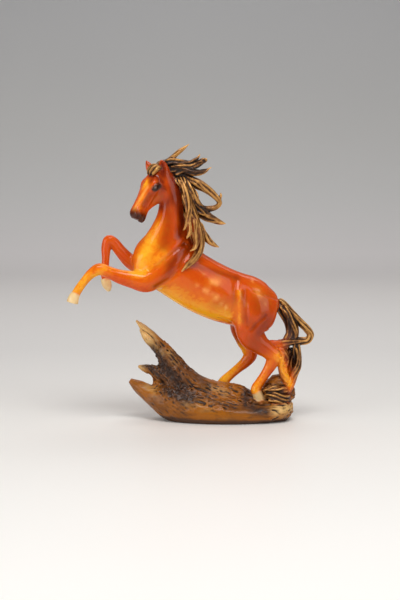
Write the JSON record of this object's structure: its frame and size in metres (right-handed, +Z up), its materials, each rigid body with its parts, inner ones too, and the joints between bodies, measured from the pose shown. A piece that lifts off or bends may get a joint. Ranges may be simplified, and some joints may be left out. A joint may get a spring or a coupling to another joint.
{
  "type": "rearing horse statuette",
  "caption": "Rearing horse with a streaming mane and looped tail on a driftwood base, cast in one piece of amber-coloured resin.",
  "frame": {"origin": "centre of the base's flat underside", "axes": "+Z up, the horse faces -X, its left side at -Y"},
  "size_m": [0.1468, 0.0485, 0.1659],
  "materials": {
    "amber_resin": "clear gloss, translucent amber",
    "gilt_hair": "antique gold over dark brown",
    "driftwood": "lacquered brown"
  },
  "bodies": {
    "root": {"rearing_horse": "amber_resin"}
  },
  "joints": []
}
